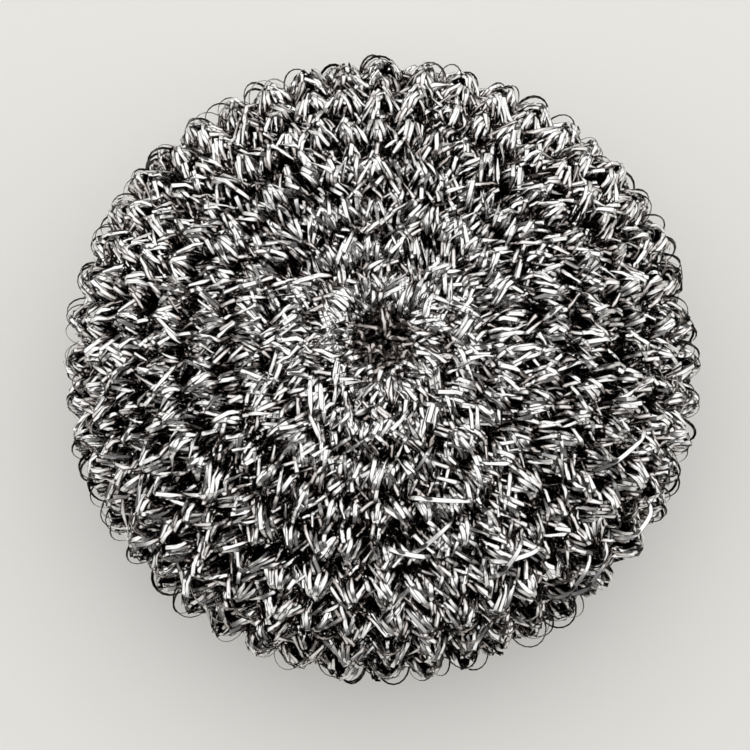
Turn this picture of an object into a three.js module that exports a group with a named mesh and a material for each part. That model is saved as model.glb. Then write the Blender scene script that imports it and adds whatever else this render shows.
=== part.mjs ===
// Knitted steel scrubber: a tube knitted from flat stainless ribbon, rolled up into a round cushion.
// The stitches stand out as ribs, the knit's columns or wales, crossed by grooves, its rounds or courses.
// Millimetres, +Z up. The origin is on the table, in the middle under the cushion.
import * as THREE from "three";

// Driving dimensions of the cushion
const outerDiameter = 90; // over the stitches at the rim
const height = 38; // from the table to the highest stitches
const crownDiameter = 42; // circle of the highest stitches
const footWidth = 9; // flat ring that it sits on, inside the crown circle
const pitDiameter = 6; // throat of the pit in the middle of each side
const pitDepth = 8; // below the crown
const lipReach = 5; // how far the pit's edge leans out over its throat
const lipDrop = 2; // how far below the crown that edge starts to turn

// Driving dimensions of the knit
const wales = 48; // columns of stitches around the cushion
const courseHeight = 5.9; // one round of stitches, along the section
const ribDepth = 3; // valley between two columns, at the rim
const courseDepth = 1; // groove between two rounds, outside the crown
const chevronRise = 1.6; // how far a round dips between two columns, at the rim

const outerRadius = outerDiameter / 2;
const crownRadius = crownDiameter / 2;
const pitRadius = pitDiameter / 2;
const footInnerRadius = crownRadius - footWidth;
const columns = 2 * wales; // a crest and a valley for each wale
const halfCourse = 0.5; // a pit's stretch ends half a course further on, on a crest
const flatness = 1e-6; // below this height a point lies on the foot, which has no relief

// Half of the cushion's section, from the floor of the upper pit, round the rim, to that of the lower pit:
// pit wall, upper quarter, lower quarter, foot and pit wall. Its x is the distance from the axis, and its y
// the height.
function sectionPath() {
  const middle = height / 2;
  const reach = outerRadius - crownRadius;
  const path = new THREE.Path();
  path.moveTo(pitRadius, height - pitDepth);
  path.bezierCurveTo(pitRadius, height - lipDrop, pitRadius + lipReach, height, crownRadius, height);
  path.absellipse(crownRadius, middle, reach, middle, Math.PI / 2, 0, true);
  path.absellipse(crownRadius, middle, reach, middle, 0, -Math.PI / 2, true);
  path.lineTo(footInnerRadius, 0);
  path.bezierCurveTo(pitRadius + lipReach, 0, pitRadius, lipDrop, pitRadius, pitDepth);
  return path;
}

// Distances along the section of its rows of points: by turns a groove and a crest, with a groove on each
// pit's floor and a crest at each end of the other stretches, so that the crown, the rim and the foot are at
// full size.
function rowDistances(path) {
  const distances = [0];
  path.curves.forEach((stretch, position) => {
    const length = stretch.getLength();
    const atPit = position === 0 || position === path.curves.length - 1;
    const steps = atPit
      ? 2 * Math.round(length / courseHeight - halfCourse) + 1
      : 2 * Math.max(1, Math.round(length / courseHeight));
    const start = distances.at(-1);
    for (let step = 1; step <= steps; step++) distances.push(start + (length * step) / steps);
  });
  return distances;
}

// A point of the knit, by its distance along the section, its angle around the cushion, and whether it lies
// in a valley between two wales or in a groove between two courses. Crests lie on the section itself.
function knitPoint(path, distance, angle, inValley, inGroove) {
  const length = path.getLength();
  const spread = path.getPoint(distance / length).x / outerRadius; // wales draw together towards the pit
  const dip = inValley ? chevronRise * spread : 0;
  const share = Math.min((distance + dip) / length, 1);
  const point = path.getPoint(share);
  const tangent = path.getTangent(share);
  const outward = new THREE.Vector2(-tangent.y, tangent.x);
  const onFoot = point.y < flatness;
  const valleyDepth = inValley ? ribDepth * spread : 0;
  const grooveDepth = inGroove ? courseDepth * Math.min(point.x / crownRadius, 1) : 0;
  if (!onFoot) point.addScaledVector(outward, -valleyDepth - grooveDepth);
  return new THREE.Vector3(point.x * Math.cos(angle), point.x * Math.sin(angle), point.y);
}

// The whole skin: a ring of points for each row, closed by a fan on each pit's floor.
function knitGeometry() {
  const path = sectionPath();
  const distances = rowDistances(path);
  const points = distances.flatMap((distance, row) =>
    Array.from({ length: columns }, (_, column) =>
      knitPoint(path, distance, (2 * Math.PI * column) / columns, column % 2 === 1, row % 2 === 0),
    ),
  );
  const upperPole = points.length;
  const lowerPole = upperPole + 1;
  points.push(new THREE.Vector3(0, 0, height - pitDepth), new THREE.Vector3(0, 0, pitDepth));

  const lastRow = distances.length - 1;
  const index = [];
  for (let column = 0; column < columns; column++) {
    const next = (column + 1) % columns;
    for (let row = 0; row < lastRow; row++) {
      const [a, b] = [row * columns + column, row * columns + next];
      const [c, d] = [a + columns, b + columns];
      // The fold runs from a stitch's crest to the bottom of the valley beside it.
      if ((row + column) % 2 === 1) index.push(a, c, d, a, d, b);
      else index.push(a, c, b, b, c, d);
    }
    index.push(upperPole, column, next);
    index.push(lowerPole, lastRow * columns + next, lastRow * columns + column);
  }
  return new THREE.BufferGeometry().setFromPoints(points).setIndex(index);
}

const stainlessRibbon = new THREE.MeshStandardMaterial({ color: 0x9a9895, roughness: 0.28, metalness: 1 });

const knittedBall = new THREE.Mesh(knitGeometry(), stainlessRibbon);
knittedBall.name = "knitted_ball";

const scrubber = new THREE.Group();
scrubber.add(knittedBall);

export default scrubber;
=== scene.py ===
"""Dresses the knitted steel scrubber: a tube knitted from flat stainless ribbon, rolled up into a cushion.

Everything is in metres, +Z up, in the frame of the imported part. The knit follows a rule: each ribbon runs
round the cushion in rows of loops, from pit to pit, and climbs to the next row at a seam. Geometry Nodes lay
it along the cushion's section. Loose turns stand out of the ribs at the rim, a few long strays lie over the
knit, and short turns fill the pits and lie over their edges.
"""

from __future__ import annotations

import logging
import math
from collections.abc import Mapping
from dataclasses import asdict, dataclass
from enum import Enum
from types import SimpleNamespace
from typing import Union

import bpy
from bpy.types import ID, Material, Node, NodeSocket, NodeTree, Object
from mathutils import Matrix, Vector

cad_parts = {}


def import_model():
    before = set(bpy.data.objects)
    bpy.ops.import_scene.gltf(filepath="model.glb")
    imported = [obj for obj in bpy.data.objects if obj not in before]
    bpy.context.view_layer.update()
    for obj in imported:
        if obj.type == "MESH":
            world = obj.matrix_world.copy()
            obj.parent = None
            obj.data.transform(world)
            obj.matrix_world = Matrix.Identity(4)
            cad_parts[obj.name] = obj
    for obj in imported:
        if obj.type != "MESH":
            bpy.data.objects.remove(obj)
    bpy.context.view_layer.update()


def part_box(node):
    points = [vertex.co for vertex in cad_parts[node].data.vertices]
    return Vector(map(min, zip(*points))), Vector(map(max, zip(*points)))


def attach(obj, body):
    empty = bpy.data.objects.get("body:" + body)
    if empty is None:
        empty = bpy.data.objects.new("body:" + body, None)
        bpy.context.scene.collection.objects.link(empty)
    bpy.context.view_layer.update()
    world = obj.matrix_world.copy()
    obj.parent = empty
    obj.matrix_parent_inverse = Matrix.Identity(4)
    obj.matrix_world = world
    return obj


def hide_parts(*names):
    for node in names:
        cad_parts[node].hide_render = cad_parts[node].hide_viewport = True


LOG = logging.getLogger("scrubber")
NODE = "knitted_ball"
BODY = "root"
MM = 0.001  # one millimetre
AROUND = (0.0, 1.0, 0.0)  # the way round the cushion's axis, at the section's own plane

# Random values
RANDOM_LOW = -1.0
RANDOM_HIGH = 1.0
CHANGE_START = 0.3  # a held value changes to the next between these shares of the way
CHANGE_END = 0.7
DRIFT_START = (0.21, 0.33, 0.11)  # where the random pattern of the drift is read from
HALF_STEP = 0.5  # keeps a share of whole steps clear of rounding
DRAW_STEP = 20.0  # between the seeds of a ribbon's draws, more than there are ribbons
TURN_DRAWS = 6  # for each loose turn

# Stitches
LEGS = 2.0  # of a loop, one to its foot and one back to the next head
MID_LEG = 0.5  # puts the whole numbers in the middle of the legs

# Triangle in a circle of radius 1, which is flattened to the ribbon's section
TRIANGLE_CORNERS = 3
TRIANGLE_BASE = -0.5  # where the side across from the tip lies
TRIANGLE_HEIGHT = 1.5
TRIANGLE_SIDE = math.sqrt(3.0)
CREASE = math.radians(60.0)  # an edge that turns further than this stays sharp

# Places of sockets that share their names with others of the same node
RANDOM_VECTOR_LOW = 0
RANDOM_VECTOR_HIGH = 1
RANDOM_NUMBER_LOW = 2
RANDOM_NUMBER_HIGH = 3
RANDOM_NUMBER = 1
MIX_FIRST = 6
MIX_SECOND = 7
MIX_RESULT = 2
SHADER_FIRST = 1
SHADER_SECOND = 2

Operand = Union["Field", float]
Colour = tuple[float, float, float]
Place = tuple[float, float, float]
Setting = Union["Field", ID, float, int, bool, str, tuple]
Inputs = Mapping[Union[str, int], Setting]


def opaque(colour: Colour) -> tuple[float, float, float, float]:
    """A colour as a socket takes it, with nothing showing through."""
    return (*colour, 1.0)


def linked(name: str, data: ID) -> Object:
    """Makes an object and links it to the scene.

    Args:
        name: The object's name.
        data: Its mesh, lamp or camera.

    Returns:
        The object.
    """
    made = bpy.data.objects.new(name, data)
    bpy.context.scene.collection.objects.link(made)
    return made


class Field:
    """A value that varies over a shape or a surface, combined with ordinary arithmetic."""

    def __init__(self, graph: NodeGraph, socket: NodeSocket) -> None:
        """Keeps the socket that gives the value and the graph that it belongs to."""
        self.graph = graph
        self.socket = socket

    @property
    def is_vector(self) -> bool:
        """Whether the value has three parts."""
        return self.socket.type in {"VECTOR", "RGBA"}

    @property
    def parts(self) -> tuple[Field, Field, Field]:
        """The three parts of a vector."""
        split = self.graph.node("ShaderNodeSeparateXYZ", {"Vector": self})
        return tuple(Field(self.graph, socket) for socket in split.outputs)

    def __add__(self, other: Operand) -> Field:
        """The sum of the two."""
        return self.graph.combine("ADD", self, other)

    __radd__ = __add__

    def __sub__(self, other: Operand) -> Field:
        """This less the other."""
        return self.graph.combine("SUBTRACT", self, other)

    def __rsub__(self, other: Operand) -> Field:
        """The other less this."""
        return self.graph.combine("SUBTRACT", other, self)

    def __mul__(self, other: Operand) -> Field:
        """The product of the two."""
        return self.graph.combine("MULTIPLY", self, other)

    __rmul__ = __mul__

    def __truediv__(self, other: Operand) -> Field:
        """This over the other."""
        return self.graph.combine("DIVIDE", self, other)


class NodeGraph:
    """A node tree in the making, for a shape or for a finish."""

    def __init__(self, tree: NodeTree) -> None:
        """Keeps the tree that the nodes go into."""
        self.tree = tree

    def node(self, kind: str, inputs: Inputs | None = None, **settings: object) -> Node:
        """Adds a node.

        Args:
            kind: Blender's name for the kind of node.
            inputs: What each input socket, by name or place, is fed with.
            settings: The node's own choices, made first because they decide which sockets it has.

        Returns:
            The new node.
        """
        made = self.tree.nodes.new(kind)
        for name, value in settings.items():
            setattr(made, name, value)
        for name, value in (inputs or {}).items():
            self.feed(made.inputs[name], value)
        return made

    def feed(self, socket: NodeSocket, value: Setting) -> None:
        """Links a value to a socket, or sets the socket to it.

        Args:
            socket: The input that takes the value.
            value: One that varies, which is linked, or a plain one.
        """
        if isinstance(value, Field):
            self.tree.links.new(value.socket, socket)
        else:
            socket.default_value = value

    def value(
        self, kind: str, inputs: Inputs | None = None, output: str | int = 0, **settings: object
    ) -> Field:
        """Adds a node, as node() does, and gives one of its outputs as a value."""
        return Field(self, self.node(kind, inputs, **settings).outputs[output])

    def scalar(self, operation: str, *values: Operand) -> Field:
        """One of the operations of the Math node on its values."""
        return self.value("ShaderNodeMath", dict(enumerate(values)), operation=operation)

    def vector(self, operation: str, *values: Field | Place) -> Field:
        """One of the operations of the Vector Math node on its values, where it gives a vector."""
        return self.value("ShaderNodeVectorMath", dict(enumerate(values)), operation=operation)

    def combine(self, operation: str, first: Operand, second: Operand) -> Field:
        """Adds, subtracts, multiplies or divides two values.

        Args:
            operation: The Math node's name for what is done.
            first: A number or a vector.
            second: The same. With one of each, the number scales the vector.

        Returns:
            The result.
        """
        vectors = [isinstance(value, Field) and value.is_vector for value in (first, second)]
        if not any(vectors):
            return self.scalar(operation, first, second)
        if all(vectors):
            return self.vector(operation, first, second)
        vector, factor = (first, second) if vectors[0] else (second, first)
        return self.value("ShaderNodeVectorMath", {"Vector": vector, "Scale": factor}, operation="SCALE")

    def sine(self, angle: Operand) -> Field:
        """The sine of an angle."""
        return self.scalar("SINE", angle)

    def cosine(self, angle: Operand) -> Field:
        """The cosine of an angle."""
        return self.scalar("COSINE", angle)

    def join(self, x: Operand, y: Operand, z: Operand) -> Field:
        """A vector of three parts."""
        return self.value("ShaderNodeCombineXYZ", {"X": x, "Y": y, "Z": z})

    def ease(
        self, value: Operand, start: Operand, end: Operand, low: Operand = 0.0, high: Operand = 1.0
    ) -> Field:
        """Goes smoothly from low to high as a value goes from start to end."""
        inputs = {"Value": value, "From Min": start, "From Max": end, "To Min": low, "To Max": high}
        return self.value("ShaderNodeMapRange", inputs, interpolation_type="SMOOTHSTEP")

    def noise(self, place: Operand, scale: float = 1.0, detail: float = 0.0) -> Field:
        """A smooth random value that varies along a number or through space.

        Args:
            place: The number or the vector.
            scale: How often the value changes over one unit of it.
            detail: How many finer changes it has on top.

        Returns:
            The value, from 0 to 1.
        """
        flat = not (isinstance(place, Field) and place.is_vector)
        inputs = {"W" if flat else "Vector": place, "Scale": scale, "Detail": detail}
        return self.value("ShaderNodeTexNoise", inputs, noise_dimensions="1D" if flat else "3D")

    def drift(self, place: Field, scale: Operand) -> tuple[Field, Field, Field]:
        """Three smooth random values that vary through space.

        Args:
            place: The place in space.
            scale: How often they change over a metre.

        Returns:
            The values, each from about -1 to 1.
        """
        inputs = {"Vector": self.vector("ADD", place, DRIFT_START), "Scale": scale, "Detail": 0.0}
        colour = self.value("ShaderNodeTexNoise", inputs, "Color")
        return tuple(RANDOM_LOW + (RANDOM_HIGH - RANDOM_LOW) * part for part in colour.parts)

    def mix(self, factor: Field, first: Field | Colour, second: Colour) -> Field:
        """A colour between two others.

        Args:
            factor: The share of the second.
            first: The one colour.
            second: The other colour.

        Returns:
            The colour between them.
        """
        mixed = self.node("ShaderNodeMix", {"Factor": factor}, data_type="RGBA")
        self.feed(mixed.inputs[MIX_FIRST], first if isinstance(first, Field) else opaque(first))
        self.feed(mixed.inputs[MIX_SECOND], opaque(second))
        return Field(self, mixed.outputs[MIX_RESULT])


def new_finish(name: str) -> tuple[Material, NodeGraph, Node]:
    """Starts a material.

    Args:
        name: The material's name.

    Returns:
        The material, the graph of its nodes and the shader of its surface.
    """
    made = bpy.data.materials.new(name)
    made.use_nodes = True
    return made, NodeGraph(made.node_tree), made.node_tree.nodes["Principled BSDF"]


@dataclass(frozen=True)
class Ribbon:
    """The flat wire that the scrubber is knitted from."""

    ribbon_width: float = 0.68 * MM
    ribbon_thickness: float = 0.08 * MM


@dataclass(frozen=True)
class Grain:
    """A random pattern on a ribbon, by how fine it is and where its marks begin and are full."""

    per_metre: float
    per_width: float
    detail: float = 0.0
    begin: float = 0.0
    full: float = 1.0

    def noise(self, graph: NodeGraph, along: Field, across: Field) -> Field:
        """The pattern's own value, from 0 to 1."""
        place = graph.join(along * self.per_metre, across * self.per_width, 0.0)
        return graph.noise(place, detail=self.detail)

    def marks(self, graph: NodeGraph, along: Field, across: Field) -> Field:
        """How strongly its marks show, from 0 to 1."""
        return graph.ease(self.noise(graph, along, across), self.begin, self.full)


@dataclass(frozen=True)
class RibbonFinish:
    """Bright rolled steel, streaked along, with painted shade: brown in places, black deep in the knit."""

    steel: Colour = (0.90, 0.89, 0.88)
    # painted warm shade, mixed in at middle depths
    brown: Colour = (0.42, 0.37, 0.345)
    # colour of the painted shade, which the streaks also darken towards
    black: Colour = (0.013, 0.010, 0.009)
    unshaded_depth: float = 1.6 * MM  # down to here it has no painted shade
    full_shade_depth: float = 1.75 * MM  # and from here on it is painted black, as shade
    brown_start: float = 0.8 * MM  # between these depths it browns in places, as painted warm shade
    brown_end: float = 1.6 * MM
    browns_per_metre: float = 120.0
    brown_detail: float = 2.0
    brown_begin: float = 0.4
    brown_full: float = 0.6
    edge_start: float = 0.78  # painted edge shade, by shares of the way from the ribbon's middle to its edge
    edge_end: float = 0.86
    edge_shade: float = 1.0
    taper: float = 1.2 * MM  # how much deeper an edge counts than the middle, for the painted shade
    glints: Grain = Grain(1700.0, 1.8, detail=1.0, begin=0.54, full=0.60)
    glint_reach: float = 2.4 * MM  # how much further down a glint stays bright
    streaks: Grain = Grain(90.0, 3.4, detail=1.0, begin=0.54, full=0.62)
    streak_shade: float = 0.1
    # painted shadows of other turns that cross over a ribbon
    crossing_shadows: Grain = Grain(420.0, 0.8, begin=0.62, full=0.70)
    crossing_shade: float = 0.9
    scratches: Grain = Grain(250.0, 9.0, detail=3.0)
    scratch_strength: float = 0.2
    scratch_height: float = 0.02 * MM
    least_roughness: float = 0.14
    most_roughness: float = 0.32

    def material(self) -> Material:
        """Makes the finish, which follows each ribbon by its attributes along, across and depth.

        Returns:
            The new material.
        """
        made, graph, shader = new_finish("stainless_ribbon")
        along, across, depth = (
            graph.value("ShaderNodeAttribute", output="Fac", attribute_name=name)
            for name in ("along", "across", "depth")
        )
        to_edge = 2.0 * graph.scalar("ABSOLUTE", across)
        below = depth + self.taper * to_edge * to_edge

        # Colour of the steel, browned in places at middle depths as painted warm shade
        browned = graph.noise(along, self.browns_per_metre, self.brown_detail)
        in_places = graph.ease(browned, self.brown_begin, self.brown_full)
        brownness = in_places * graph.ease(below, self.brown_start, self.brown_end)
        warm_shaded = graph.mix(brownness, self.steel, self.brown)

        # Painted shade by depth, at edges and under crossing turns, and real streaks: the strongest counts
        glint = self.glint_reach * self.glints.marks(graph, along, across)
        # Painted shade where the ribbon lies deep in the knit, lifted in spots by the glints
        sunk = graph.ease(below - glint, self.unshaded_depth, self.full_shade_depth)
        # Painted shade at the edges, for the dark that rounded edges reflect
        edge = self.edge_shade * graph.ease(to_edge, self.edge_start, self.edge_end)
        streak = self.streak_shade * self.streaks.marks(graph, along, across)
        # Painted shadows of other turns that cross over the ribbon
        crossing_shadow = self.crossing_shade * self.crossing_shadows.marks(graph, along, across)
        streaked_and_shadowed = graph.scalar("MAXIMUM", streak, crossing_shadow)
        shade = graph.scalar("MAXIMUM", graph.scalar("MAXIMUM", sunk, edge), streaked_and_shadowed)
        graph.feed(shader.inputs["Base Color"], graph.mix(shade, warm_shaded, self.black))

        # Gloss
        shader.inputs["Metallic"].default_value = 1.0
        scratched = self.scratches.noise(graph, along, across)
        spread = self.most_roughness - self.least_roughness
        graph.feed(shader.inputs["Roughness"], self.least_roughness + spread * scratched)
        relief = {"Height": scratched, "Strength": self.scratch_strength, "Distance": self.scratch_height}
        graph.feed(shader.inputs["Normal"], graph.value("ShaderNodeBump", relief, "Normal"))
        return made


@dataclass(frozen=True)
class InnerFinish:
    """Turns further in, lit so little that they are painted shade: near-black steel with painted glints."""

    # painted shade of the knit's inside
    gap: Colour = (0.010, 0.009, 0.009)
    glint: Colour = (0.07, 0.065, 0.06)
    specks_per_metre: float = 900.0
    speck_detail: float = 2.0
    speck_begin: float = 0.55
    speck_full: float = 0.75
    speck_strength: float = 0.8
    speck_height: float = 0.5 * MM
    roughness: float = 0.45

    def material(self) -> Material:
        """Makes the finish.

        Returns:
            The new material.
        """
        made, graph, shader = new_finish("inner_turns")
        place = graph.value("ShaderNodeTexCoord", output="Object")
        specks = graph.noise(place, self.specks_per_metre, self.speck_detail)
        # Painted glints in specks on the painted shade
        painted_glints = graph.ease(specks, self.speck_begin, self.speck_full)
        graph.feed(shader.inputs["Base Color"], graph.mix(painted_glints, self.gap, self.glint))
        shader.inputs["Metallic"].default_value = 1.0
        shader.inputs["Roughness"].default_value = self.roughness
        relief = {"Height": specks, "Strength": self.speck_strength, "Distance": self.speck_height}
        graph.feed(shader.inputs["Normal"], graph.value("ShaderNodeBump", relief, "Normal"))
        return made


@dataclass(frozen=True)
class Cushion:
    """The outer form of the rolled-up tube, by half of its section."""

    radius: float
    height: float
    crown_radius: float = 21 * MM  # circle of the highest stitches
    foot_width: float = 9 * MM  # flat ring that it sits on, inside the crown circle
    pit_radius: float = 3 * MM  # throat of the pit in the middle of each side
    pit_depth: float = 8 * MM
    lip_reach: float = 5 * MM  # how far the pit's edge leans out over its throat
    lip_drop: float = 2 * MM  # how far below the crown that edge starts to turn
    full_depth_radius: float = 12 * MM  # inside this circle the knit is thinner
    steps: int = 40  # points on each curve of the section

    @classmethod
    def of_node(cls, node: str) -> Cushion:
        """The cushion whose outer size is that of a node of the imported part."""
        low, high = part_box(node)
        return cls(radius=(high.x - low.x) / 2, height=high.z - low.z)

    def section(self) -> list[Vector]:
        """Half of the section, in the plane of X and Z.

        Returns:
            Points from the floor of the upper pit, over the crown, round the rim and under the foot, to
            that of the lower pit.
        """
        lean = self.pit_radius + self.lip_reach
        foot_radius = self.crown_radius - self.foot_width
        upper = [
            (self.pit_radius, self.height - self.pit_depth),
            (self.pit_radius, self.height - self.lip_drop),
            (lean, self.height),
            (self.crown_radius, self.height),
        ]
        lower = [
            (foot_radius, 0.0),
            (lean, 0.0),
            (self.pit_radius, self.lip_drop),
            (self.pit_radius, self.pit_depth),
        ]
        middle = self.height / 2
        points = [self.bezier(upper, step / self.steps) for step in range(self.steps)]
        for step in range(2 * self.steps + 1):
            angle = math.pi / 2 * (1 - step / self.steps)
            out = self.crown_radius + (self.radius - self.crown_radius) * math.cos(angle)
            points.append((out, middle + middle * math.sin(angle)))
        points += [self.bezier(lower, step / self.steps) for step in range(self.steps + 1)]
        return [Vector((x, 0.0, z)) for x, z in points]

    def length(self) -> float:
        """The length of half of the section."""
        points = self.section()
        return sum((after - before).length for before, after in zip(points, points[1:]))

    @staticmethod
    def bezier(corners: list[tuple[float, float]], share: float) -> tuple[float, float]:
        """A point on a cubic curve.

        Args:
            corners: The curve's four corners.
            share: How far along the curve the point is, from 0 to 1.

        Returns:
            The point.
        """
        rest = 1 - share
        weights = (rest**3, 3 * share * rest**2, 3 * share**2 * rest, share**3)
        return tuple(sum(w * corner[axis] for w, corner in zip(weights, corners)) for axis in range(2))


@dataclass(frozen=True)
class Skin:
    """A place on the cushion's skin, in the section's own plane."""

    place: Field
    outward: Field
    radius: Field


class RibbonGraph(NodeGraph):
    """A tree in the making that lays flat ribbons over the cushion, from its section and named sizes."""

    def __init__(self, name: str, sizes: Mapping[str, float]) -> None:
        """Starts the tree with its inputs.

        Args:
            name: The tree's name.
            sizes: The names of its sizes, with values that show which are whole numbers.
        """
        super().__init__(bpy.data.node_groups.new(name, "GeometryNodeTree"))
        self.identifiers: dict[str, str] = {}
        self.section = self.tree_input("section", "NodeSocketGeometry")
        self.size = SimpleNamespace()
        for key, value in sizes.items():
            kind = "NodeSocketInt" if isinstance(value, int) else "NodeSocketFloat"
            setattr(self.size, key, self.tree_input(key, kind))
        self.material = self.tree_input("material", "NodeSocketMaterial")

    def tree_input(self, name: str, socket_type: str) -> Field:
        """Adds a named input to the tree.

        Args:
            name: The input's name.
            socket_type: Blender's name for what it holds.

        Returns:
            The input's value.
        """
        item = self.tree.interface.new_socket(name, in_out="INPUT", socket_type=socket_type)
        self.identifiers[name] = item.identifier
        source = self.tree.nodes.get("Group Input") or self.tree.nodes.new("NodeGroupInput")
        return Field(self, source.outputs[name])

    def turned(self, vector: Field, angle: Field) -> Field:
        """A vector turned about the cushion's axis."""
        inputs = {"Vector": vector, "Angle": angle}
        return self.value("ShaderNodeVectorRotate", inputs, rotation_type="Z_AXIS")

    def held(self, place: Field, seed: Operand) -> tuple[Field, Field, Field]:
        """Three random values that are held around each whole number and change between two of them.

        Args:
            place: The number that they vary along.
            seed: Tells one draw from the others.

        Returns:
            The values, each from -1 to 1.
        """
        before = self.scalar("FLOOR", place)
        change = self.ease(place - before, CHANGE_START, CHANGE_END)
        low, high = ((limit, limit, limit) for limit in (RANDOM_LOW, RANDOM_HIGH))
        first, second = (
            self.value(
                "FunctionNodeRandomValue",
                {RANDOM_VECTOR_LOW: low, RANDOM_VECTOR_HIGH: high, "ID": number, "Seed": seed},
                data_type="FLOAT_VECTOR",
            )
            for number in (before, before + 1.0)
        )
        return (first + (second - first) * change).parts

    def chance(self, number: Field, seed: int) -> Field:
        """A random value from -1 to 1 for each whole number."""
        inputs = {RANDOM_NUMBER_LOW: RANDOM_LOW, RANDOM_NUMBER_HIGH: RANDOM_HIGH, "ID": number, "Seed": seed}
        return self.value("FunctionNodeRandomValue", inputs, RANDOM_NUMBER, data_type="FLOAT")

    def skin(self, distance: Field) -> Skin:
        """A place on the cushion's skin.

        Args:
            distance: How far along the section it is.

        Returns:
            The place.
        """
        curve = self.value("GeometryNodeMeshToCurve", {"Mesh": self.section})
        inputs = {"Curves": curve, "Length": distance}
        sample = self.node("GeometryNodeSampleCurve", inputs, mode="LENGTH")
        place = Field(self, sample.outputs["Position"])
        outward = self.vector("CROSS_PRODUCT", Field(self, sample.outputs["Tangent"]), AROUND)
        return Skin(place, outward, place.parts[0])

    def raised(self, skin: Skin, lift: Field, angle: Field) -> Field:
        """A place above the skin, turned to its angle and kept off the table."""
        x, y, z = self.turned(skin.place + skin.outward * lift, angle).parts
        return self.join(x, y, self.scalar("MAXIMUM", z, self.size.ribbon_width / 2.0))

    def line(self, count: Field) -> Field:
        """A line of so many points, which are then moved to their places."""
        inputs = {"Curve": self.value("GeometryNodeCurvePrimitiveLine"), "Count": count}
        return self.value("GeometryNodeResampleCurve", inputs, mode="COUNT")

    def flat_section(self) -> Field:
        """The ribbon's own section: a very flat triangle, whose wide side faces out.

        Returns:
            The section's outline, with how far across the ribbon each corner is.
        """
        circle = {"Resolution": TRIANGLE_CORNERS, "Radius": 1.0}
        triangle = self.value("GeometryNodeCurvePrimitiveCircle", circle, mode="RADIUS")
        out, side, _ = self.value("GeometryNodeInputPosition").parts
        inward = (out - TRIANGLE_BASE) * (self.size.ribbon_thickness * (-1.0 / TRIANGLE_HEIGHT))
        sideways = side * (self.size.ribbon_width * (-1.0 / TRIANGLE_SIDE))
        moved = {"Geometry": triangle, "Position": self.join(inward, sideways, 0.0)}
        flat = self.value("GeometryNodeSetPosition", moved)
        across = self.value("GeometryNodeInputPosition").parts[1] / self.size.ribbon_width
        return self.stored(flat, "across", across)

    def finish(self, path: Field, face: Field, tilt: Field, depth: Field) -> None:
        """Gives a path the ribbon's flat section and its material, and makes it the tree's result.

        Args:
            path: The curves that the ribbons follow.
            face: The direction that a ribbon's flat side faces, before its tilt.
            tilt: How far the ribbon is turned about its own length.
            depth: How far it counts below the outermost stitches; its finish paints shade by it.
        """
        heading = self.value("GeometryNodeInputTangent")
        beside = self.vector("NORMALIZE", self.vector("CROSS_PRODUCT", heading, face))
        upright = self.vector("CROSS_PRODUCT", beside, heading)
        normal = upright * self.cosine(tilt) + beside * self.sine(tilt)
        turned = self.value("GeometryNodeSetCurveNormal", {"Curve": path, "Normal": normal}, mode="FREE")
        along = self.value("GeometryNodeSplineParameter", output="Length")
        measured = self.stored(self.stored(turned, "along", along), "depth", depth)
        sweep = {"Curve": measured, "Profile Curve": self.flat_section(), "Fill Caps": True}
        mesh = self.value("GeometryNodeCurveToMesh", sweep)
        smooth = self.value("GeometryNodeSetShadeSmooth", {"Geometry": mesh}, domain="FACE")
        gentle = self.scalar("LESS_THAN", self.value("GeometryNodeInputMeshEdgeAngle"), CREASE)
        shading = {"Geometry": smooth, "Shade Smooth": gentle}
        edged = self.value("GeometryNodeSetShadeSmooth", shading, domain="EDGE")
        realized = self.value("GeometryNodeRealizeInstances", {"Geometry": edged})
        result = self.value("GeometryNodeSetMaterial", {"Geometry": realized, "Material": self.material})
        self.tree.interface.new_socket("Geometry", in_out="OUTPUT", socket_type="NodeSocketGeometry")
        self.node("NodeGroupOutput", {"Geometry": result})

    def stored(self, geometry: Field, name: str, value: Field) -> Field:
        """A geometry that keeps a value at each of its points under a name."""
        inputs = {"Geometry": geometry, "Name": name, "Value": value}
        return self.value("GeometryNodeStoreNamedAttribute", inputs, domain="POINT")

    def grow(
        self, name: str, points: list[Vector], sizes: Mapping[str, float], material: Material
    ) -> Object:
        """Runs the tree on a section and keeps the result as a plain piece.

        Args:
            name: The piece's name.
            points: The section.
            sizes: The values of the tree's inputs.
            material: The piece's finish.

        Returns:
            The piece, at the origin.
        """
        start = bpy.data.meshes.new(name + "_section")
        start.from_pydata(points, [(i, i + 1) for i in range(len(points) - 1)], [])
        host = linked(name + "_host", start)
        modifier = host.modifiers.new(name, "NODES")
        modifier.node_group = self.tree
        for key, value in {**sizes, "material": material}.items():
            modifier[self.identifiers[key]] = value
        depsgraph = bpy.context.evaluated_depsgraph_get()
        mesh = bpy.data.meshes.new_from_object(
            host.evaluated_get(depsgraph), preserve_all_data_layers=True, depsgraph=depsgraph
        )
        bpy.data.objects.remove(host)
        mesh.name = name
        return linked(name, mesh)


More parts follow.
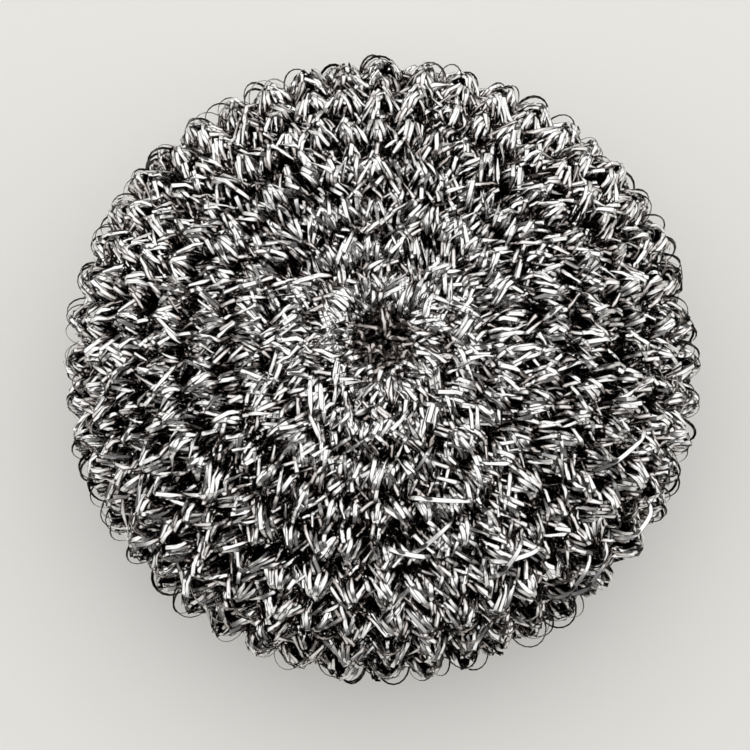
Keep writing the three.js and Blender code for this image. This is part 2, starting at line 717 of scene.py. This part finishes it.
@dataclass(frozen=True)
class StitchRule:
    """How a ribbon is knitted: the size of its loops, and how far the bundle and the ribbon in it stray."""

    # Loops
    wales: int = 48  # columns of stitches around the cushion
    points_per_stitch: int = 10
    course_height: float = 5.9 * MM  # one round of stitches, along the section
    climb: float = 0.04  # share of a round on which it climbs to the next
    loop_reach: float = 2.6 * MM  # from the row to a loop's head or foot
    reach_spread: float = 0.15
    leg_slant: float = 0.4 * MM
    end_sink: float = 2.0 * MM  # how far heads and feet dive below the legs
    end_roll: float = 1.1
    fan: float = 0.3  # how much closer a bundle lies at its heads than halfway
    rib_depth: float = 2.3 * MM  # valley between two wales, at the rim
    rib_shade: float = 0.4  # share of the valley's depth that deepens the ribbon's painted shade

    # Drift of the whole knit
    drifts_per_metre: float = 38.0
    drift_out: float = 0.7 * MM
    drift_along: float = 2.4 * MM
    drift_aside: float = 3.2 * MM

    # Strays of a bundle
    bundle_along: float = 0.7 * MM
    bundle_aside: float = 1.0 * MM
    bundle_out: float = 0.45 * MM
    bundle_lean: float = 0.34
    bundle_tilt: float = 0.26

    # Strays of a ribbon in its bundle
    ribbon_along: float = 0.45 * MM
    ribbon_aside: float = 0.3 * MM
    ribbon_out: float = 0.25 * MM
    ribbon_lean: float = 0.31
    ribbon_tilt: float = 0.5

    # Sheaves around the pits, in which a bundle keeps together and leans as one
    sheaf_start: float = 9 * MM  # full inside this circle
    sheaf_end: float = 22 * MM  # and gone outside this one
    sheaf_share: float = 0.55  # how much more its ribbons sink together
    sheaf_lean: float = 2.0  # how many times more it leans
    sheaf_calm: float = 0.5  # how much less each of its ribbons leans by itself

    # Rim
    calm_radius: float = 30 * MM  # from here to the rim the knit grows calmer
    calm: float = 0.9  # share of the strays that is left there
    rim_pitch: float = 0.8  # share of the bundle's width that is left there
    rim_upturn: float = 0.9

    # Legs that sink between the others
    shown_at_axis: float = 0.5  # share of the legs that stay up
    shown_at_rim: float = 0.92
    bundle_share: float = 0.3  # how far a bundle's ribbons sink together
    gather_sink: float = 2.4 * MM
    gather_blur: float = 0.05


@dataclass(frozen=True)
class Bundle:
    """A few ribbons that are knitted side by side, at one depth."""

    depth: float
    ahead: float = 0.0  # along the section, from the knit's row
    ribbons: int = 4


class Layer(Enum):
    """The bundles that are knitted together, from the outermost in."""

    FACE = Bundle(depth=0.4 * MM)
    BESIDE = Bundle(depth=0.7 * MM)
    UNDER = Bundle(depth=1.1 * MM, ahead=2.9 * MM)
    BACK = Bundle(depth=1.75 * MM, ahead=1.4 * MM)


@dataclass(frozen=True)
class RibbonPlace:
    """Where a ribbon lies in the knit."""

    depth: float
    aside: float  # from the middle of its bundle
    ahead: float
    seam: float  # share of the way round at which it climbs to the next row
    seed: int
    bundle: int


@dataclass
class KnittedTube:
    """The knitted tube: bundles of ribbons, each ribbon in rounds of loops from pit to pit."""

    cushion: Cushion
    ribbon: Ribbon
    finish: Material
    rule: StitchRule = StitchRule()
    pitch: float = 0.74 * MM  # between two ribbons of a bundle
    stagger: float = 0.12 * MM  # every other ribbon lies this much deeper
    first_course: float = 1.9 * MM  # along the section, from the floor of the upper pit
    last_course: float = 3 * MM  # and to the floor of the lower one

    def places(self) -> list[RibbonPlace]:
        """Sets the ribbons side by side in each bundle.

        Returns:
            The place of each ribbon.
        """
        made = []
        for bundle, layer in enumerate(Layer):
            for number in range(layer.value.ribbons):
                from_middle = number - (layer.value.ribbons - 1) / 2
                place = RibbonPlace(
                    depth=layer.value.depth + self.stagger * (number % 2),
                    aside=self.pitch * from_middle,
                    ahead=layer.value.ahead,
                    seam=bundle / len(Layer),
                    seed=len(made),
                    bundle=bundle,
                )
                made.append(place)
        return made

    def build(self) -> list[Object]:
        """Lays the ribbons.

        Returns:
            One piece for each ribbon of the bundles.
        """
        courses = (self.cushion.length() - self.first_course - self.last_course) / self.rule.course_height
        shared = {
            **asdict(self.rule),
            **asdict(self.ribbon),
            "stitches": round(courses) * self.rule.wales,
            "start": self.first_course,
            "outer_radius": self.cushion.radius,
            "full_depth_radius": self.cushion.full_depth_radius,
        }
        places = [asdict(place) for place in self.places()]
        graph = self.tree({**shared, **places[0]})
        points = self.cushion.section()
        return [
            graph.grow(f"knitted_ribbon_{number}", points, {**shared, **place}, self.finish)
            for number, place in enumerate(places, start=1)
        ]

    def tree(self, sizes: Mapping[str, float]) -> RibbonGraph:
        """Makes the tree that knits one ribbon along a section.

        Args:
            sizes: The tree's sizes, as a RibbonGraph takes them.

        Returns:
            The graph of the tree.
        """
        graph = RibbonGraph("knit_ribbon", sizes)
        size = graph.size

        # Place in the stitch, which turns from its head over its foot to the next head
        stitch = graph.value("GeometryNodeInputIndex") / size.points_per_stitch
        turn = math.tau * stitch
        to_head = graph.cosine(turn)
        at_end = graph.ease(graph.cosine(LEGS * turn), -1.0, 1.0)

        # Random values, held along a leg and changed at its ends: two of the bundle's, three of the ribbon's
        leg = LEGS * stitch + MID_LEG
        seeds = (size.bundle, size.bundle, size.seed, size.seed, size.seed)
        draws = (graph.held(leg, seed + DRAW_STEP * draw) for draw, seed in enumerate(seeds))
        bundle, poise, own, twist, whim = draws

        # Row of stitches, and how calm and how closely bundled the knit is there
        rounds = stitch / size.wales
        whole = graph.scalar("FLOOR", rounds)
        climb = graph.ease(rounds - whole, 1.0 - size.climb, 1.0)
        around = math.tau * (rounds + size.seam)
        row = size.start + size.course_height * (whole + climb)
        rest = graph.skin(row)
        drift = graph.drift(graph.turned(rest.place, around), size.drifts_per_metre)
        at_rim = graph.ease(rest.radius, size.calm_radius, size.outer_radius)
        calm = 1.0 - (1.0 - size.calm) * at_rim
        in_sheaf = graph.ease(rest.radius, size.sheaf_end, size.sheaf_start)

        # Legs that sink between the others
        gain = size.shown_at_rim - size.shown_at_axis
        shown = size.shown_at_axis + gain * rest.radius / size.outer_radius
        limit = RANDOM_LOW + (RANDOM_HIGH - RANDOM_LOW) * shown
        together = size.bundle_share + size.sheaf_share * in_sheaf
        draw = whim[0] + together * (poise[2] - whim[0])
        past = graph.ease(draw - limit, -1.0 * size.gather_blur, size.gather_blur)
        gathered = size.gather_sink * past

        # Place along the section
        stray = size.drift_along * drift[0] + size.bundle_along * bundle[0] + size.ribbon_along * own[0]
        reach = size.loop_reach * (1.0 + size.reach_spread * whim[1]) * to_head
        skin = graph.skin(row + reach + size.ahead + stray)
        room = graph.scalar("MINIMUM", skin.radius / size.full_depth_radius, 1.0)

        # Place around the axis
        spread = 1.0 - size.fan * to_head
        pitch = 1.0 - (1.0 - size.rim_pitch) * at_rim
        leaning = size.bundle_lean * (1.0 + size.sheaf_lean * in_sheaf) * calm
        own_leaning = size.ribbon_lean * (1.0 - size.sheaf_calm * in_sheaf)
        lean = leaning * poise[0] + own_leaning * twist[1]
        sideways = (
            size.aside * spread * pitch
            - size.leg_slant * graph.sine(LEGS * turn) * calm
            + size.bundle_aside * bundle[1] * calm
            + size.ribbon_aside * own[1]
        ) * room
        in_wale = around + (sideways + lean * reach) / skin.radius
        angle = in_wale + size.drift_aside * drift[1] / size.outer_radius

        # Height over the skin, less in the valleys between the wales
        rib_turn = in_wale * size.wales / 2.0
        crest = graph.cosine(rib_turn)
        valley = 1.0 - graph.scalar("ABSOLUTE", crest)
        rib = size.rib_depth * valley * skin.radius / size.outer_radius
        sunk = size.depth + gathered + size.end_sink * at_end
        out = size.bundle_out * bundle[2] * calm + size.ribbon_out * own[2] - sunk
        lift = (out + size.drift_out * drift[2]) * room - rib

        # The ribbon, faced with the slope of its wale and turned up at the rim
        points = graph.line(size.stitches * size.points_per_stitch)
        position = graph.raised(skin, lift, angle)
        laid = graph.value("GeometryNodeSetPosition", {"Geometry": points, "Position": position})
        steepness = size.rib_depth * size.wales / (2.0 * size.outer_radius)
        slope = steepness * graph.sine(rib_turn) * graph.scalar("SIGN", crest)
        upturn = size.rim_upturn * at_rim * graph.scalar("SIGN", skin.outward.parts[2])
        face = graph.turned(skin.outward + graph.join(0.0, slope, upturn), angle)
        roll = size.end_roll * at_end * twist[2]
        tilt = size.bundle_tilt * poise[1] + size.ribbon_tilt * twist[0] + roll
        # Depth by which the finish paints shade: more in valleys, sunk legs, diving ends and inner bundles
        graph.finish(laid, face, tilt, size.rib_shade * rib - out)
        return graph


@dataclass(frozen=True)
class TurnRule:
    """How loose turns of ribbon lie: how many, where along the section, how wide and how proud."""

    turns: int
    places: int  # around the cushion
    first: float  # along the section, from the floor of the upper pit
    last: float
    reach: float  # around the cushion, from a turn's middle to its ends
    rise: float  # of its middle over the skin
    tuck: float  # of its ends below the skin
    lean: float  # along the section, from its middle to its ends, at most
    jitter: float  # how far it strays from its place, in places
    twist: float
    points_per_turn: int = 11
    start: float = 0.0  # angle of the first place
    sweep: float = math.tau  # angle that the places share
    tilt: float = 0.0
    sunk: float = 0.0  # how deep it counts at the skin, for the finish's painted shade
    fade: float = 1.0  # share of its height that makes it count as less deep, and so less shaded
    upturn: float = 0.0
    roundness: float = 1.0  # from a straight run with its ends tucked in to a round arc
    reach_spread: float = 0.3
    drifts_per_metre: float = StitchRule.drifts_per_metre
    drift_aside: float = StitchRule.drift_aside


class Loose(Enum):
    """The kinds of loose turns: on the ribs, long strays, in the pits and on the pits' edges."""

    RIB_TURNS = TurnRule(
        turns=4 * StitchRule.wales,
        places=StitchRule.wales,
        first=44 * MM,
        last=60 * MM,
        reach=2.2 * MM,
        rise=0.2 * MM,
        tuck=3.0 * MM,
        lean=2.2 * MM,
        jitter=0.3,
        twist=0.26,
        tilt=0.26,
        sunk=1.6 * MM,
        fade=0.4,
    )
    STRAYS = TurnRule(
        turns=9,
        places=9,
        points_per_turn=15,
        start=math.radians(-88.0),
        sweep=math.radians(66.0),
        first=24 * MM,
        last=49 * MM,
        reach=3.8 * MM,
        rise=0.5 * MM,
        tuck=1.5 * MM,
        lean=2.5 * MM,
        jitter=0.7,
        twist=0.3,
        upturn=1.2,
        roundness=0.0,
    )
    PIT_TURNS = TurnRule(
        turns=60,
        places=60,
        first=0.5 * MM,
        last=5.0 * MM,
        reach=2.2 * MM,
        rise=1.7 * MM,
        tuck=1.2 * MM,
        lean=2.4 * MM,
        jitter=1.0,
        twist=0.7,
        tilt=0.6,
        sunk=1.4 * MM,
        fade=0.03,
    )
    PIT_PETALS = TurnRule(
        turns=60,
        places=60,
        points_per_turn=9,
        first=4.4 * MM,
        last=6.2 * MM,
        reach=0.6 * MM,
        rise=0.3 * MM,
        tuck=1.0 * MM,
        lean=4.2 * MM,
        jitter=0.8,
        twist=0.5,
        tilt=0.2,
        sunk=0.7 * MM,
        fade=0.8,
    )


@dataclass
class LooseTurns:
    """Turns of ribbon that have worked loose, each an arc from one place in the knit to another."""

    cushion: Cushion
    ribbon: Ribbon
    finish: Material
    kind: Loose

    def build(self) -> Object:
        """Lays the turns.

        Returns:
            One piece with all of them.
        """
        sizes = {**asdict(self.kind.value), **asdict(self.ribbon)}
        graph = self.tree(sizes)
        return graph.grow(self.kind.name.lower(), self.cushion.section(), sizes, self.finish)

    def tree(self, sizes: Mapping[str, float]) -> RibbonGraph:
        """Makes the tree that lays the turns over a section.

        Args:
            sizes: The tree's sizes, as a RibbonGraph takes them.

        Returns:
            The graph of the tree.
        """
        graph = RibbonGraph("loose_turns", sizes)
        size = graph.size

        # Number of the turn, and the share of the way along it, from -1 to 1
        index = graph.value("GeometryNodeInputIndex")
        number = graph.scalar("FLOOR", (index + HALF_STEP) / size.points_per_turn)
        step = index - number * size.points_per_turn
        share = 2.0 * step / (size.points_per_turn - 1.0) - 1.0
        bend = share * (math.pi / 2.0)
        draws = (graph.chance(number, seed) for seed in range(TURN_DRAWS))
        shift, place, width, height, slant, roll = draws

        # Place along the section and around the axis, where it drifts with the knit
        middle = (size.first + size.last) / 2.0
        half = (size.last - size.first) / 2.0
        along = middle + half * place
        skin = graph.skin(along + size.lean * slant * share)
        bow = share + size.roundness * (graph.sine(bend) - share)
        aside = size.reach * (1.0 + size.reach_spread * width) * bow
        spot = size.start + size.sweep * (number + size.jitter * shift) / size.places
        rest = graph.skin(along)
        drift = graph.drift(graph.turned(rest.place, spot), size.drifts_per_metre)
        angle = spot + aside / skin.radius + size.drift_aside * drift[1] / rest.radius

        # Height over the skin
        rise = size.rise * (1.0 + height)
        fall = 1.0 - graph.cosine(bend)
        drop = fall * (fall + size.roundness * (1.0 - fall))
        lift = rise - (rise + size.tuck) * drop

        # The ribbons
        turn = graph.line(size.points_per_turn)
        spots = graph.value("GeometryNodePoints", {"Count": size.turns})
        copies = graph.value("GeometryNodeInstanceOnPoints", {"Points": spots, "Instance": turn})
        curves = graph.value("GeometryNodeRealizeInstances", {"Geometry": copies})
        position = graph.raised(skin, lift, angle)
        laid = graph.value("GeometryNodeSetPosition", {"Geometry": curves, "Position": position})
        beside = graph.join(0.0, graph.sine(bend), 0.0)
        outward = graph.turned(skin.outward * graph.cosine(bend) + beside, angle)
        face = outward + graph.join(0.0, 0.0, size.upturn)
        tilt = size.tilt + size.twist * roll
        # Depth by which the finish paints shade, less where the turn rises
        graph.finish(laid, face, tilt, size.sunk - size.fade * lift)
        return graph


@dataclass
class InnerTurns:
    """Turns of the tube under the outer stitches: painted shade, seen only as darkness between them."""

    cushion: Cushion
    finish: Material
    inset: float = 4.2 * MM
    columns: int = 96

    def profile(self) -> list[tuple[float, float]]:
        """Draws the cushion's section in by the inset, less so in the pits.

        Returns:
            Points of the section, each by its distance from the axis and its height.
        """
        points = self.cushion.section()
        made = []
        for before, point, after in zip(points, points[1:], points[2:]):
            outward = (after - before).normalized().cross(Vector(AROUND))
            inner = point - outward * self.inset * min(point.x / self.cushion.full_depth_radius, 1.0)
            made.append((inner.x, inner.z))
        return made

    def build(self) -> Object:
        """Makes a closed form a little inside the cushion's.

        Returns:
            The piece.
        """
        profile = self.profile()
        angles = [math.tau * column / self.columns for column in range(self.columns)]
        vertices = [(x * math.cos(angle), x * math.sin(angle), z) for x, z in profile for angle in angles]
        faces = []
        for row in range(len(profile) - 1):
            first, second = row * self.columns, (row + 1) * self.columns
            for column in range(self.columns):
                beside = (column + 1) % self.columns
                faces.append((first + column, second + column, second + beside, first + beside))
        last = (len(profile) - 1) * self.columns
        faces.append(tuple(range(self.columns)))
        faces.append(tuple(last + column for column in reversed(range(self.columns))))
        mesh = bpy.data.meshes.new("inner_turns")
        mesh.from_pydata(vertices, [], faces)
        mesh.shade_smooth()
        mesh.materials.append(self.finish)
        return linked("inner_turns", mesh)


@dataclass
class Studio:
    """A pale table under a wide soft light, and the photographer's place above the scrubber."""

    cushion: Cushion
    elevation: float = math.radians(77.0)
    distance: float = 0.40
    lens: float = 0.1355
    sensor: float = 0.036
    clip_start: float = 10 * MM
    aim: tuple[float, float] = (-0.95 * MM, -1.45 * MM)
    table_half: float = 1.5
    table_colour: Colour = (0.80, 0.79, 0.755)
    table_roughness: float = 0.6
    glow: float = 0.25  # share of the table's colour that shows whatever light falls on it
    lamp_size: float = 2.6
    lamp_energy: float = 1.5
    lamp_place: Place = (0.18, 0.5, 0.82)
    room_colour: Colour = (1.0, 1.0, 1.0)
    front_grey: float = 0.12  # the room's light from the front
    back_grey: float = 1.1  # and from everywhere else
    front_end: float = -0.75  # where the front ends, by a direction's part along Y
    back_start: float = -0.4

    def build(self) -> None:
        """Sets the table, the light and the camera."""
        self.table()
        self.light()
        self.camera()
        bpy.context.scene.view_settings.view_transform = "Standard"

    def table(self) -> None:
        """Lays the table top."""
        made, graph, shader = new_finish("table_top")
        shader.inputs["Base Color"].default_value = opaque(self.table_colour)
        shader.inputs["Roughness"].default_value = self.table_roughness
        path = graph.node("ShaderNodeLightPath")
        rays = (Field(graph, path.outputs[name]) for name in ("Is Camera Ray", "Is Glossy Ray"))
        seen = graph.scalar("MAXIMUM", *rays)
        pale = graph.value("ShaderNodeEmission", {"Color": opaque(self.table_colour)})
        lit = Field(graph, shader.outputs["BSDF"])
        shaders = {"Fac": self.glow * seen, SHADER_FIRST: lit, SHADER_SECOND: pale}
        output = made.node_tree.nodes["Material Output"]
        graph.feed(output.inputs["Surface"], graph.value("ShaderNodeMixShader", shaders))
        half = self.table_half
        corners = [(-half, -half, 0.0), (half, -half, 0.0), (half, half, 0.0), (-half, half, 0.0)]
        mesh = bpy.data.meshes.new("table_top")
        mesh.from_pydata(corners, [], [tuple(range(len(corners)))])
        mesh.materials.append(made)
        top = linked("table_top", mesh)

    def light(self) -> None:
        """Hangs a wide soft lamp over the table, in a plain room that is darker in front of the scrubber."""
        lamp = bpy.data.lights.new("soft_lamp", "AREA")
        lamp.shape = "DISK"
        lamp.size = self.lamp_size
        lamp.energy = self.lamp_energy
        holder = linked("soft_lamp", lamp)
        holder.location = self.lamp_place
        holder.rotation_euler = (-holder.location).to_track_quat("-Z", "Y").to_euler()
        world = bpy.data.worlds.new("room")
        world.use_nodes = True
        room = world.node_tree.nodes["Background"]
        graph = NodeGraph(world.node_tree)
        _, back, _ = graph.value("ShaderNodeTexCoord", output="Generated").parts
        grey = graph.ease(back, self.front_end, self.back_start, self.front_grey, self.back_grey)
        graph.feed(room.inputs["Strength"], grey)
        room.inputs["Color"].default_value = opaque(self.room_colour)
        bpy.context.scene.world = world

    def camera(self) -> None:
        """Places the camera."""
        lens = bpy.data.cameras.new("camera")
        lens.sensor_width = self.sensor / MM
        lens.lens = self.lens / MM
        lens.clip_start = self.clip_start
        holder = linked("camera", lens)
        target = Vector((*self.aim, self.cushion.height / 2))
        back = Vector((0.0, -math.cos(self.elevation), math.sin(self.elevation)))
        holder.location = target + self.distance * back
        holder.rotation_euler = (-back).to_track_quat("-Z", "Y").to_euler()
        bpy.context.scene.camera = holder


def place_piece(piece: Object) -> None:
    """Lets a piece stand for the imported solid, and reports it.

    Args:
        piece: The finished piece.
    """
    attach(piece, BODY)
    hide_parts(NODE)
    triangles = sum(len(face.vertices) - 2 for face in piece.data.polygons)
    LOG.info("%s: %d triangles", piece.name, triangles)


def main() -> None:
    """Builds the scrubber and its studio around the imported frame."""
    logging.basicConfig(level=logging.INFO, format="%(name)s: %(message)s")
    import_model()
    cushion = Cushion.of_node(NODE)
    ribbon = Ribbon()
    steel = RibbonFinish().material()
    for piece in KnittedTube(cushion, ribbon, steel).build():
        place_piece(piece)
    for kind in Loose:
        place_piece(LooseTurns(cushion, ribbon, steel, kind).build())
    place_piece(InnerTurns(cushion, InnerFinish().material()).build())
    Studio(cushion).build()


if __name__ == "__main__":
    main()
